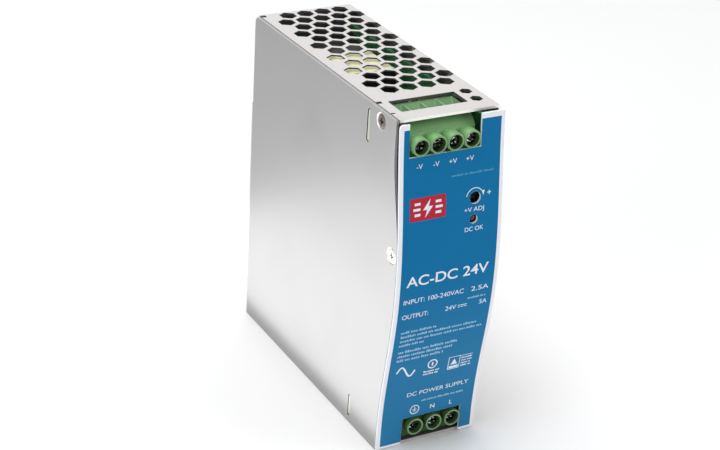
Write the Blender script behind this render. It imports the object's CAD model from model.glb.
"""Looks of the DIN-rail power supply: fine surfaces, printed label, inner parts, light and camera.

+Z is up and the front faces -Y.  Shapes are worked out in millimetres and raw() brings them to
metres; materials, lights and the camera are in metres.  Distances called "depth" run from the
plane of the case's top front corner towards the back.
"""

import math
from collections import namedtuple

import bmesh
import bpy
from mathutils import Matrix, Vector


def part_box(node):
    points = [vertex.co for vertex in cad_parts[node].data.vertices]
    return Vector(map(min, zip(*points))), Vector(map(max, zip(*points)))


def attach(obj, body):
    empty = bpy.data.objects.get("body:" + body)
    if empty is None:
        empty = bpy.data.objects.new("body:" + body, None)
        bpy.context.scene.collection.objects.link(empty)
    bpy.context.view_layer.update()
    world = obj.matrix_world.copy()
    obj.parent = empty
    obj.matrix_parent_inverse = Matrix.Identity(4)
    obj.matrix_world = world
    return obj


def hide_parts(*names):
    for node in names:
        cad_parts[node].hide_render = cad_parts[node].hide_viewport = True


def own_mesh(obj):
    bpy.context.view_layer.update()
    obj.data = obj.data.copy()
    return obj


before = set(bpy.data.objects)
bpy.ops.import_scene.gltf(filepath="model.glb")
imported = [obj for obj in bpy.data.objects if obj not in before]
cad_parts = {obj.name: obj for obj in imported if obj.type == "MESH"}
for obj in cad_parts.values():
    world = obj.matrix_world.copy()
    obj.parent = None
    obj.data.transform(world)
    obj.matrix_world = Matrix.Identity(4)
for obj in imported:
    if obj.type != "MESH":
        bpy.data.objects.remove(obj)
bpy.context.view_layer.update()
CASE = "case"
MM = 0.001

# ---------------------------------------------------------------- sizes, read from the frame
def box(name):
    """The corners of a CAD node's box, in millimetres."""
    return [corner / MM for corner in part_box(name)]


cover_low, cover_high = box("side_cover")
shell_low, shell_high = box("chassis")
label_low, label_high = box("front_label")
LEFT = cover_low.x
RIGHT = shell_high.x
HEIGHT = shell_high.z
BACK_Y = shell_high.y
FRONT_Y = label_low.y
SHEET = cover_high.x - cover_low.x
TRAY_LEFT = shell_low.x
GAP = TRAY_LEFT - cover_high.x
LABEL_Z = (label_low.z, label_high.z)
PANEL_Z = (box("front_panel")[0].z, box("front_panel")[1].z)

# Wave of the front: the same curve as the CAD model's.
BULGE_Z = 66.0
BULGE = 6.35
BULGE_FOOT = 0.75
BULGE_TOP = 1.0
FOOT_Z = 6.0
CREST_TO_TOP = 70.0
CORNER_Y = FRONT_Y + BULGE
FRONT_STEPS = 72

LABEL_THICK = 0.8
PANEL_FRONT = LABEL_THICK + GAP
PANEL_BACK = PANEL_FRONT + SHEET
CASE_FRONT = LABEL_THICK + GAP
SPLIT_Z = 75.0
STRAIGHT_Z = 118.0
TOP_FRONT_DEPTH = 1.5
COVER_CORNER = 0.5
FOLD_RADIUS = 0.9
FLANGE_Z = (71.2, 120.5)
FLANGE_BACK = 3.2
THINNED = 0.55

OUTPUT_OPENING = (-16.4, 11.0, 113.0)
INPUT_OPENING = (-10.1, 13.8, 10.8)
PANEL_MARGIN = 0.7
TRIMMER = (9.2, 95.5)
TRIMMER_HOLE = 2.15
LED = (8.8, 88.0)
LED_HOLE = 1.55
TOP_WINDOW = (-14.6, 10.8, 7.6, 17.0)
BASE_WINDOW = (-9.9, 13.7, 7.6, 17.0)

VENT_PITCH = 7.2
VENT_ROW_PITCH = 6.42
VENT_ROWS = 13
VENT_LAST_ROW = 103.3
VENT_FIRST_X = -8.6
VENT_FLATS = 5.8
SMALL_VENT_FLATS = 4.0
SMALL_VENT_X = 14.9
SMALL_VENT_DEPTHS = (15.9, 9.1)

COVER_SCREWS = {"cover_screw_top": (11.1, 121.3), "cover_screw_front": (-1.4, 77.7)}
COVER_SLOTS = ((19.4, 110.7, 122.7, 1.9), (20.5, 2.5, 11.3, 1.7))
BRACKET_SCREWS = {"bracket_screw_1": (-16.8, 60.0), "bracket_screw_2": (16.8, 76.0)}
TAB_DEPTHS = (7.4, 17.1)
TAB_FOOT = 117.0
NOTCH = 1.0
NEAR = 0.01
PRINT_STEP = 0.02
BLUE_INSET = 0.03
BLUE_X = (-18.5, 18.6)
BLUE_Z = (1.3, 122.6)


def depth(distance):
    """Y of a point that lies this far behind the top front corner."""
    return CORNER_Y + distance


def bulge(z):
    """How far the front stands forward of its top corner at this height."""
    if z < BULGE_Z:
        share = min(1.0, (BULGE_Z - z) / (BULGE_Z - FOOT_Z))
        return (BULGE + BULGE_FOOT) / 2 + (BULGE - BULGE_FOOT) / 2 * math.cos(math.pi * share)
    share = (z - BULGE_Z) / CREST_TO_TOP
    return BULGE_TOP + (BULGE - BULGE_TOP) / 2 * (1 + math.cos(math.pi * share))


def front_y(z, offset=0.0):
    """Y of the label's face at this height, moved back by offset."""
    return CORNER_Y - bulge(z) + offset


def front_line(low, high, offset, steps=FRONT_STEPS):
    heights = [low + (high - low) * i / steps for i in range(steps + 1)]
    return [(front_y(z, offset), z) for z in heights]


def case_line(low, high, steps=FRONT_STEPS):
    """Points (y, z) up the front edge of the case's side walls, which stand back at the top."""
    points = []
    for i in range(steps + 1):
        z = low + (high - low) * i / steps
        place = CASE_FRONT - bulge(z)
        if z > SPLIT_Z:
            start = CASE_FRONT - bulge(SPLIT_Z)
            share = min(1.0, (z - SPLIT_Z) / (STRAIGHT_Z - SPLIT_Z))
            place = max(place, start + (TOP_FRONT_DEPTH - start) * (1 - math.cos(math.pi * share)) / 2)
        points.append((depth(place), z))
    return points


# ---------------------------------------------------------------- shape helpers
def at_axis(axis, along, first, second):
    """A point from its place along an axis and its two other coordinates in X, Y, Z order."""
    if axis == "X":
        return Vector((along, first, second))
    if axis == "Y":
        return Vector((first, along, second))
    return Vector((first, second, along))


def add_loft(bm, loops):
    """Closed solid through outlines that have the same number of points."""
    rings = [[bm.verts.new(point) for point in loop] for loop in loops]
    bm.faces.new(rings[0])
    bm.faces.new(list(reversed(rings[-1])))
    for low, high in zip(rings, rings[1:]):
        for i in range(len(low)):
            j = (i + 1) % len(low)
            bm.faces.new((low[j], low[i], high[i], high[j]))


def add_prism(bm, axis, outline, start, end):
    loops = [[at_axis(axis, along, a, b) for a, b in outline] for along in (start, end)]
    add_loft(bm, loops)


def solid(add, *values):
    """A new shape holding one thing that an add_ function puts in it."""
    bm = bmesh.new()
    add(bm, *values)
    return bm


def add_box(bm, x, y, z):
    add_prism(bm, "Z", [(x[0], y[0]), (x[1], y[0]), (x[1], y[1]), (x[0], y[1])], z[0], z[1])


def ring(centre, radius, sides, turn=0.0):
    angles = [turn + 2 * math.pi * i / sides for i in range(sides)]
    return [(centre[0] + radius * math.cos(a), centre[1] + radius * math.sin(a)) for a in angles]


def add_cylinder(bm, axis, centre, radius, start, end, sides=32):
    add_prism(bm, axis, ring(centre, radius, sides), start, end)


def add_turned(bm, axis, centre, profile, sides=40):
    """A solid of revolution: profile lists (place along the axis, radius) from end to end."""
    add_loft(bm, [[at_axis(axis, along, a, b) for a, b in ring(centre, r, sides)] for along, r in profile])


def add_tube(bm, points, radius, sides=10, closed=False):
    """A round wire along a line of points."""
    count = len(points)
    rings = []
    side = None
    for i, point in enumerate(points):
        if closed:
            run = points[(i + 1) % count] - points[i - 1]
        else:
            run = points[min(i + 1, count - 1)] - points[max(i - 1, 0)]
        run.normalize()
        if side is None:
            side = run.orthogonal()
        side = (side - run * side.dot(run)).normalized()
        up = run.cross(side)
        angles = [2 * math.pi * k / sides for k in range(sides)]
        rings.append([bm.verts.new(point + (side * math.cos(a) + up * math.sin(a)) * radius)
                for a in angles])
    pairs = list(zip(rings, rings[1:]))
    if closed:
        pairs.append((rings[-1], rings[0]))
    for low, high in pairs:
        for i in range(sides):
            j = (i + 1) % sides
            bm.faces.new((low[i], low[j], high[j], high[i]))
    if not closed:
        bm.faces.new(list(reversed(rings[0])))
        bm.faces.new(rings[-1])


def rounded_outline(x, y, radius, steps=5):
    """Corner points of a rectangle with round corners."""
    corners = ((x[1], y[1], 0), (x[0], y[1], 1), (x[0], y[0], 2), (x[1], y[0], 3))
    points = []
    for cx, cy, quarter in corners:
        mx = cx - radius if quarter in (0, 3) else cx + radius
        my = cy - radius if quarter in (0, 1) else cy + radius
        for i in range(steps + 1):
            a = math.pi / 2 * (quarter + i / steps)
            points.append((mx + radius * math.cos(a), my + radius * math.sin(a)))
    return points


def hexagon(centre, across_flats):
    return ring(centre, across_flats / math.sqrt(3), 6, math.pi / 6)


def raw(name, bm):
    """An object from a shape in millimetres."""
    bmesh.ops.recalc_face_normals(bm, faces=bm.faces)
    bmesh.ops.scale(bm, vec=(MM, MM, MM), verts=bm.verts)
    mesh = bpy.data.meshes.new(name)
    bm.to_mesh(mesh)
    bm.free()
    item = bpy.data.objects.new(name, mesh)
    bpy.context.scene.collection.objects.link(item)
    return item


def bake(item):
    """Replace an object's mesh by its modifiers' result."""
    graph = bpy.context.evaluated_depsgraph_get()
    mesh = bpy.data.meshes.new_from_object(item.evaluated_get(graph))
    item.modifiers.clear()
    old = item.data
    item.data = mesh
    bpy.data.meshes.remove(old)


def combine(item, operation, shapes):
    tools = [raw("tool", bm) for bm in shapes]
    for tool in tools:
        step = item.modifiers.new("combine", "BOOLEAN")
        step.operation = operation
        step.solver = "EXACT"
        step.object = tool
    bake(item)
    for tool in tools:
        mesh = tool.data
        bpy.data.objects.remove(tool)
        bpy.data.meshes.remove(mesh)


def cut(item, *shapes):
    combine(item, "DIFFERENCE", shapes)


def extend(item, *shapes):
    combine(item, "UNION", shapes)


def add_bevel(item, width, segments=2, angle=32):
    bevel = item.modifiers.new("edges", "BEVEL")
    bevel.width = width * MM
    bevel.segments = segments
    bevel.limit_method = "ANGLE"
    bevel.angle_limit = math.radians(angle)


def finish_piece(item, mat, nodes=(), slot=None, edge=0.0, segments=2, angle=32, body=CASE):
    """Material, rounded edges, smooth shading, body and the CAD nodes the piece stands for."""
    item.data.materials.clear()
    item.data.materials.append(MATERIALS[mat])
    if edge:
        add_bevel(item, edge, segments, angle)
    item.data.shade_smooth()
    item.data.set_sharp_from_angle(angle=math.radians(angle + 8))
    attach(item, body)
    if nodes:
        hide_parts(*nodes)
    return item


def piece(name, bm, *looks, joins=(), cuts=(), **more):
    """A finished piece from its shape, after other shapes are joined on and cut away."""
    item = raw(name, bm)
    if joins:
        extend(item, *joins)
    if cuts:
        cut(item, *cuts)
    return finish_piece(item, *looks, **more)


def repaint(item, mat, wanted):
    """A second material on the faces that a test of centre, in millimetres, and normal picks out."""
    item.data.materials.append(MATERIALS[mat])
    slot = len(item.data.materials) - 1
    for face in item.data.polygons:
        if wanted(face.center / MM, face.normal):
            face.material_index = slot
    return slot


def soft_edges(item, edge, segments=2):
    """Bake a bevel, so later cuts keep crisp edges."""
    add_bevel(item, edge, segments)
    bake(item)


# ---------------------------------------------------------------- materials
def node(tree, kind, **values):
    made = tree.nodes.new(kind)
    for key, value in values.items():
        if key in made.inputs:
            made.inputs[key].default_value = value
        else:
            setattr(made, key, value)
    return made


def start_material(name, color, roughness, metallic=0.0, **extra):
    mat = bpy.data.materials.new(name)
    mat.use_nodes = True
    tree = mat.node_tree
    shader = tree.nodes["Principled BSDF"]
    shader.inputs["Base Color"].default_value = (*color, 1.0)
    shader.inputs["Roughness"].default_value = roughness
    shader.inputs["Metallic"].default_value = metallic
    for key, value in extra.items():
        shader.inputs[key.replace("_", " ")].default_value = value
    mat.diffuse_color = (*color, 1.0)
    return mat, tree, shader


def stretched(tree, scale=(1.0, 1.0, 1.0)):
    """Object coordinates in metres times a scale for each axis."""
    place = node(tree, "ShaderNodeTexCoord")
    mapping = node(tree, "ShaderNodeMapping")
    mapping.inputs["Scale"].default_value = scale
    tree.links.new(place.outputs["Object"], mapping.inputs["Vector"])
    return mapping.outputs["Vector"]


def noise(tree, scale, detail=3.0, roughness=0.5, stretch=(1.0, 1.0, 1.0)):
    made = node(tree, "ShaderNodeTexNoise", Scale=scale, Detail=detail, Roughness=roughness)
    tree.links.new(stretched(tree, stretch), made.inputs["Vector"])
    return made.outputs["Fac"]


def spread(tree, value, low, high, from_low=0.3, from_high=0.7):
    made = node(tree, "ShaderNodeMapRange")
    for key, number in (("From Min", from_low), ("From Max", from_high), ("To Min", low), ("To Max", high)):
        made.inputs[key].default_value = number
    tree.links.new(value, made.inputs["Value"])
    return made.outputs["Result"]


def tint(tree, shader, value, dark, light, low=0.3, high=0.7):
    """Base colour between two others, chosen by a value."""
    ramp = node(tree, "ShaderNodeValToRGB")
    for element, place, color in zip(ramp.color_ramp.elements, (low, high), (dark, light)):
        element.position = place
        element.color = (*color, 1.0)
    tree.links.new(value, ramp.inputs["Fac"])
    tree.links.new(ramp.outputs["Color"], shader.inputs["Base Color"])


def mottle(tree, shader, value, color, amount, *limits):
    """Base colour a little darker and lighter than the given one."""
    tint(tree, shader, value, scaled(color, 1 - amount), scaled(color, 1 + amount), *limits)


def vary_gloss(tree, shader, value, low, high):
    tree.links.new(spread(tree, value, low, high), shader.inputs["Roughness"])


def bump(tree, shader, height, distance, strength):
    """Fine relief; the distance is in millimetres."""
    made = node(tree, "ShaderNodeBump", Strength=strength, Distance=distance * MM)
    tree.links.new(height, made.inputs["Height"])
    tree.links.new(made.outputs["Normal"], shader.inputs["Normal"])


def scaled(color, factor):
    return tuple(channel * factor for channel in color)


def rolled_metal(name, color, roughness, contrast=0.05, grain=(1.0, 1.0, 1.0)):
    """Plain rolled sheet: fine grain along one direction and faint clouds."""
    mat, tree, shader = start_material(name, color, roughness, 1.0)
    grain_line = noise(tree, 2600.0, 4.0, 0.6, grain)
    clouds = noise(tree, 28.0, 2.0, 0.4)
    mix = node(tree, "ShaderNodeMath", operation="ADD")
    tree.links.new(grain_line, mix.inputs[0])
    tree.links.new(clouds, mix.inputs[1])
    mottle(tree, shader, mix.outputs[0], color, contrast, 0.75, 1.25)
    vary_gloss(tree, shader, clouds, roughness - 0.02, roughness + 0.03)
    bump(tree, shader, grain_line, 0.004, 0.6)
    return mat


def worn_metal(name, dark, bright, roughness):
    """Tarnished metal with bright worn patches."""
    mat, tree, shader = start_material(name, dark, roughness, 1.0)
    patches = noise(tree, 900.0, 2.0)
    tint(tree, shader, patches, dark, bright, 0.56, 0.62)
    bump(tree, shader, patches, 0.05, 0.6)
    return mat


def moulded(name, color, roughness, variation=0.08, grain=0.006):
    """Moulded plastic: slight colour clouds and a fine moulded grain."""
    mat, tree, shader = start_material(name, color, roughness)
    mottle(tree, shader, noise(tree, 180.0), color, variation)
    fine = noise(tree, 4200.0, 2.0)
    vary_gloss(tree, shader, fine, roughness - 0.05, roughness + 0.06)
    bump(tree, shader, fine, grain, 0.5)
    return mat


def printed_film(name, color, variation=0.02):
    """Printed film on the front: even ink with a faint mottle and a slight orange peel."""
    mat, tree, shader = start_material(name, color, 0.42, 0.0, Specular_IOR_Level=0.1)
    mottle(tree, shader, noise(tree, 1500.0), color, variation)
    peel = noise(tree, 700.0, 2.0)
    vary_gloss(tree, shader, peel, 0.38, 0.47)
    bump(tree, shader, peel, 0.004, 0.5)
    return mat


def toned_film(name, low_color, high_color):
    """Printed film whose ink is a little paler below the middle of the front."""
    mat, tree, shader = start_material(name, high_color, 0.5, 0.0, Specular_IOR_Level=0.1)
    mottled = noise(tree, 1500.0)
    split = node(tree, "ShaderNodeSeparateXYZ")
    tree.links.new(stretched(tree), split.inputs["Vector"])
    tone = node(tree, "ShaderNodeMath", operation="MULTIPLY_ADD")
    tone.inputs[1].default_value = 0.12
    tree.links.new(mottled, tone.inputs[0])
    tree.links.new(spread(tree, split.outputs["Z"], 0.0, 1.0, 0.030, 0.075), tone.inputs[2])
    tint(tree, shader, tone.outputs[0], low_color, high_color, 0.05, 1.05)
    bump(tree, shader, mottled, 0.003, 0.4)
    return mat


def taped(name, color):
    """Wound tape: overlapping turns seen as fine ridges, with a slight gloss."""
    mat, tree, shader = start_material(name, color, 0.32, 0.0, Coat_Weight=0.25, Coat_Roughness=0.2)
    wave = node(tree, "ShaderNodeTexWave", Scale=900.0, Distortion=1.2, Detail=2.0)
    tree.links.new(stretched(tree), wave.inputs["Vector"])
    tint(tree, shader, noise(tree, 160.0), scaled(color, 0.88), scaled(color, 1.06))
    bump(tree, shader, wave.outputs["Fac"], 0.05, 0.5)
    return mat


def ferrite_stone(name, color):
    mat, tree, shader = start_material(name, color, 0.55)
    speck = noise(tree, 3200.0, 4.0, 0.7)
    tint(tree, shader, speck, scaled(color, 0.6), scaled(color, 2.0), 0.4, 0.75)
    bump(tree, shader, speck, 0.01, 0.6)
    return mat


def circuit_board(name, color):
    """Solder mask with lighter copper tracks under it."""
    mat, tree, shader = start_material(name, color, 0.35, 0.0, Coat_Weight=0.3, Coat_Roughness=0.25)
    brick = node(tree, "ShaderNodeTexBrick", Scale=260.0)
    brick.offset = 0.37
    brick.squash = 1.6
    for key, factor in (("Color1", 0.8), ("Color2", 1.35), ("Mortar", 0.45)):
        brick.inputs[key].default_value = (*scaled(color, factor), 1.0)
    brick.inputs["Mortar Size"].default_value = 0.06
    place = node(tree, "ShaderNodeTexCoord")
    turn = node(tree, "ShaderNodeMapping")
    turn.inputs["Rotation"].default_value = (0.0, math.pi / 2, 0.0)
    tree.links.new(place.outputs["Object"], turn.inputs["Vector"])
    tree.links.new(turn.outputs["Vector"], brick.inputs["Vector"])
    tree.links.new(brick.outputs["Color"], shader.inputs["Base Color"])
    bump(tree, shader, brick.outputs["Fac"], -0.03, 0.6)
    return mat


MATERIALS = {
    "sheet": rolled_metal("plain_sheet", (0.70, 0.70, 0.705), 0.38),
    "cover_sheet": rolled_metal("cover_sheet", (0.395, 0.390, 0.390), 0.40),
    "top": rolled_metal("top_sheet", (0.63, 0.61, 0.595), 0.48, 0.06, (1.0, 0.3, 1.0)),
    "clip": rolled_metal("clip_zinc", (0.58, 0.57, 0.54), 0.34, 0.05, (1.0, 1.0, 0.1)),
    "screw": rolled_metal("screw_zinc", (0.60, 0.59, 0.56), 0.26, 0.08),
    "nickel": rolled_metal("nickel_plate", (0.66, 0.63, 0.56), 0.24, 0.06),
    "aluminium": rolled_metal("extruded_aluminium", (0.66, 0.67, 0.68), 0.36, 0.05, (0.08, 1.0, 1.0)),
    "anodised": rolled_metal("anodised_aluminium", (0.06, 0.06, 0.065), 0.45, 0.05, (0.08, 1.0, 1.0)),
    "copper": rolled_metal("enamelled_copper", (0.62, 0.26, 0.09), 0.28, 0.1),
    "case_screw": rolled_metal("case_screw", (0.17, 0.145, 0.125), 0.3, 0.15),
    "bright_screw": rolled_metal("bright_screw", (0.74, 0.73, 0.69), 0.34, 0.06),
    "slot_tab": rolled_metal("slot_tab", (0.56, 0.60, 0.48), 0.5, 0.05),
    "terminal_screw": worn_metal("terminal_screw_zinc", (0.035, 0.035, 0.03), (0.95, 0.95, 0.92), 0.22),
    "cut_edge": rolled_metal("cut_edge", (0.93, 0.92, 0.88), 0.45, 0.03),
    "spring": rolled_metal("spring_wire", (0.45, 0.45, 0.46), 0.25, 0.05),
    "tin": rolled_metal("tinned_lead", (0.70, 0.70, 0.68), 0.3, 0.05),
    "white_film": printed_film("label_white", (0.86, 0.88, 0.91), 0.01),
    "blue_ink": toned_film("label_blue", (0.022, 0.190, 0.385), (0.0, 0.158, 0.365)),
    "white_ink": printed_film("label_marks", (0.78, 0.84, 0.90)),
    "fine_ink": printed_film("label_small_print", (0.36, 0.56, 0.72)),
    "faint_ink": printed_film("label_faint", (0.10, 0.32, 0.52)),
    "red_ink": printed_film("label_red", (0.48, 0.022, 0.045), 0.05),
    "green": moulded("terminal_green", (0.185, 0.400, 0.150), 0.42, 0.05),
    "green_light": moulded("terminal_green_light", (0.185, 0.350, 0.165), 0.42, 0.05),
    "green_shade": moulded("terminal_green_shade", (0.040, 0.095, 0.022), 0.5, 0.1),
    "blue_plastic": moulded("trimmer_blue_plastic", (0.006, 0.016, 0.045), 0.45),
    "dark_lining": moulded("dark_lining", (0.085, 0.085, 0.085), 0.6),
    "dark_plastic": moulded("dark_plastic", (0.02, 0.02, 0.022), 0.45),
    "pale_plastic": moulded("pale_plastic", (0.70, 0.70, 0.66), 0.42),
    "yellow_plastic": moulded("yellow_box", (0.72, 0.56, 0.10), 0.34),
    "blue_dip": moulded("blue_dip", (0.04, 0.20, 0.50), 0.3, 0.1, 0.02),
    "green_dip": moulded("green_dip", (0.04, 0.17, 0.07), 0.4, 0.1, 0.02),
    "ceramic": moulded("white_ceramic", (0.78, 0.76, 0.70), 0.4, 0.03),
    "led": moulded("red_lens", (0.085, 0.018, 0.022), 0.25, 0.05, 0.002),
    "film": moulded("insulation_film", (0.80, 0.78, 0.66), 0.4, 0.03),
    "package": moulded("moulded_package", (0.022, 0.022, 0.024), 0.5),
    "core_paint": moulded("core_paint", (0.30, 0.27, 0.10), 0.5),
    "sleeve": moulded("can_sleeve", (0.035, 0.045, 0.085), 0.22, 0.1),
    "stripe": moulded("can_stripe", (0.55, 0.56, 0.58), 0.35, 0.04),
    "ferrite": ferrite_stone("ferrite", (0.045, 0.045, 0.05)),
    "tape": taped("winding_tape", (0.94, 0.92, 0.56)),
    "board": circuit_board("board_green", (0.050, 0.270, 0.085)),
    "dark_board": circuit_board("front_board_green", (0.010, 0.040, 0.022)),
}


# ---------------------------------------------------------------- case
def vent_outlines():
    """The honeycomb: rows of four and five holes in turn, from the back forwards."""
    centres = []
    for row in range(VENT_ROWS):
        short = row % 2 == 0
        first = VENT_FIRST_X - (0.0 if short else VENT_PITCH / 2)
        y = depth(VENT_LAST_ROW - row * VENT_ROW_PITCH)
        centres += [(first + column * VENT_PITCH, y) for column in range(4 if short else 5)]
    return [hexagon(centre, VENT_FLATS) for centre in centres]


def tray_outline():
    return [(BACK_Y, 0.0), (BACK_Y, HEIGHT)] + list(reversed(case_line(0.0, HEIGHT)))


def tray_hollow():
    front = FRONT_Y - 10
    roof = HEIGHT - SHEET
    return [(BACK_Y - SHEET, SHEET), (BACK_Y - SHEET, roof), (front, roof), (front, SHEET)]


def fold_edges(bm, x):
    """Edges of the tray along its right side that are folds, not the open front."""
    def on_fold(edge):
        a, b = (v.co for v in edge.verts)
        if abs(min(a.x, b.x) - x) > NEAR:
            return False
        at_back = min(a.y, b.y) > BACK_Y - SHEET - NEAR
        return at_back or min(a.z, b.z) > HEIGHT - SHEET - NEAR or max(a.z, b.z) < SHEET + NEAR
    return [edge for edge in bm.edges if on_fold(edge)]


def in_roof_holes(point):
    """Whether an upright face of the roof lies in one of its holes, not on its outline."""
    inside_x = TRAY_LEFT + 1.5 < point.x < RIGHT - 0.5
    return inside_x and depth(5) < point.y < BACK_Y - 0.5


def make_chassis():
    bm = solid(add_prism, "X", tray_outline(), TRAY_LEFT, RIGHT)
    bmesh.ops.bevel(bm, geom=fold_edges(bm, RIGHT), offset=FOLD_RADIUS, segments=7, profile=0.5,
            affect="EDGES")
    tray = raw("chassis_shell", bm)
    hollow, thinned = bmesh.new(), bmesh.new()
    add_prism(hollow, "X", tray_hollow(), TRAY_LEFT - 2, RIGHT - SHEET)
    honeycomb = (depth(21.5), BACK_Y - 3)
    add_box(thinned, (TRAY_LEFT + 2.5, RIGHT - 1.8), honeycomb, (HEIGHT - 2 * SHEET, HEIGHT - THINNED))
    cut(tray, hollow, thinned)

    tab = solid(add_box, (TRAY_LEFT, TRAY_LEFT + SHEET), [depth(d) for d in TAB_DEPTHS],
            (TAB_FOOT, HEIGHT - SHEET / 2))
    extend(tray, tab)

    through_top = (HEIGHT - 2 * SHEET, HEIGHT + SHEET)
    through_base = (-SHEET, 2 * SHEET)
    vents, windows, holes = (bmesh.new() for _ in range(3))
    for outline in vent_outlines():
        add_prism(vents, "Z", outline, *through_top)
        add_prism(vents, "Z", outline, *through_base)
    for place in SMALL_VENT_DEPTHS:
        add_prism(vents, "Z", hexagon((SMALL_VENT_X, depth(place)), SMALL_VENT_FLATS), *through_top)
    for window, through in ((TOP_WINDOW, through_top), (BASE_WINDOW, through_base)):
        outline = rounded_outline(window[:2], [depth(d) for d in window[2:]], 0.35, 3)
        add_prism(windows, "Z", outline, *through)
    for edge, reach, half in ((TAB_DEPTHS[0], 1.5, 0.45), (TAB_DEPTHS[1], 1.9, 0.85)):
        notch_y = (depth(edge) - half, depth(edge) + half)
        add_box(windows, (TRAY_LEFT - SHEET, TRAY_LEFT + reach), notch_y, (TAB_FOOT - NOTCH, HEIGHT + SHEET))
    relief = 1.1
    add_cylinder(holes, "Z", (TRAY_LEFT + relief, BACK_Y - 1.6 * relief), relief, *through_top, 20)
    place, z = COVER_SCREWS["cover_screw_top"]
    add_cylinder(holes, "X", (depth(place), z), 1.8, TRAY_LEFT - SHEET, TRAY_LEFT + 2 * SHEET, 24)
    cut(tray, vents, windows, holes)
    finish_piece(tray, "top", ["chassis"], "case_metal", 0.12)
    roof, wall, back = HEIGHT - SHEET + 0.01, RIGHT - SHEET + 0.01, BACK_Y - SHEET + 0.01
    repaint(tray, "dark_lining", lambda c, n: c.x < wall and c.y < back and SHEET - 0.01 < c.z < roof
            and c.x > TRAY_LEFT + 1.0)
    repaint(tray, "dark_lining", lambda c, n: abs(n.z) < 0.3 and c.z > roof and in_roof_holes(c))
    edge_slot = repaint(tray, "cut_edge", lambda c, n: n.y < -0.8 and c.z > roof and c.y < depth(5))
    tray.modifiers["edges"].material = edge_slot


def cover_outline():
    clip = 1.5
    top_y = depth(TOP_FRONT_DEPTH)
    corner = [(top_y + COVER_CORNER * (1 - math.cos(a)), HEIGHT - COVER_CORNER * (1 - math.sin(a)))
            for a in (math.pi / 2 * i / 4 for i in range(1, 5))]
    back = [(BACK_Y - clip, HEIGHT), (BACK_Y, HEIGHT - clip), (BACK_Y, 0.0)]
    return case_line(0.0, HEIGHT - COVER_CORNER) + corner + back


def in_cover_slot(point):
    return any(abs(point.y - depth(place)) < 1.2 * width and low - 1.0 < point.z < high + 1.0
            for place, low, high, width in COVER_SLOTS)


def in_cover_sink(point, normal):
    near = (Vector((0.0, point.y - depth(place), point.z - z)).length for place, z in COVER_SCREWS.values())
    return min(near) < 3.3 and abs(normal.x) < 0.95


def make_cover():
    cover = raw("side_cover_sheet", solid(add_prism, "X", cover_outline(), LEFT, LEFT + SHEET))
    slots, sinks = bmesh.new(), bmesh.new()
    for place, low, high, width in COVER_SLOTS:
        outline = rounded_outline((depth(place) - width / 2, depth(place) + width / 2), (low, high),
                width / 2.2, 4)
        add_prism(slots, "X", outline, LEFT - SHEET, LEFT + 2 * SHEET)
    for place, z in COVER_SCREWS.values():
        profile = [(LEFT - 0.5, 3.5), (LEFT, 3.0), (LEFT + SHEET, 2.0), (LEFT + 2, 2.0)]
        add_turned(sinks, "X", (depth(place), z), profile)
    cut(cover, slots, sinks)
    finish_piece(cover, "cover_sheet", ["side_cover"], "case_metal", 0.14)
    repaint(cover, "dark_lining", lambda c, n: n.x > 0.9 or (n.x > -0.3 and in_cover_slot(c)))
    cover.modifiers["edges"].material = repaint(cover, "cut_edge", in_cover_sink)
    for index, (place, low, high, width) in enumerate(COVER_SLOTS, 1):
        tab = bmesh.new()
        outline = rounded_outline((depth(place) - 0.3 * width, depth(place) + 0.3 * width),
                (low + 0.5, high - 0.5), 0.3, 3)
        add_prism(tab, "X", outline, LEFT + 0.2, LEFT + 0.75)
        piece(f"slot_tab_{index}", tab, "slot_tab", (), "case_metal", 0.08)


def opening_cutters(grow):
    near = FRONT_Y - 4
    far = CORNER_Y + 4
    bm = bmesh.new()
    x0, x1, sill = OUTPUT_OPENING
    add_box(bm, (x0 - grow, x1 + grow), (near, far), (sill - grow, HEIGHT + SHEET))
    x0, x1, lintel = INPUT_OPENING
    add_box(bm, (x0 - grow, x1 + grow), (near, far), (-SHEET, lintel + grow))
    add_cylinder(bm, "Y", TRIMMER, TRIMMER_HOLE + grow, near, far, 40)
    add_cylinder(bm, "Y", LED, LED_HOLE + grow, near, far, 32)
    return bm


def wave_sheet(name, x, z, offsets):
    outline = front_line(z[0], z[1], offsets[0]) + list(reversed(front_line(z[0], z[1], offsets[1])))
    return raw(name, solid(add_prism, "X", outline, x[0], x[1]))


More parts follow.
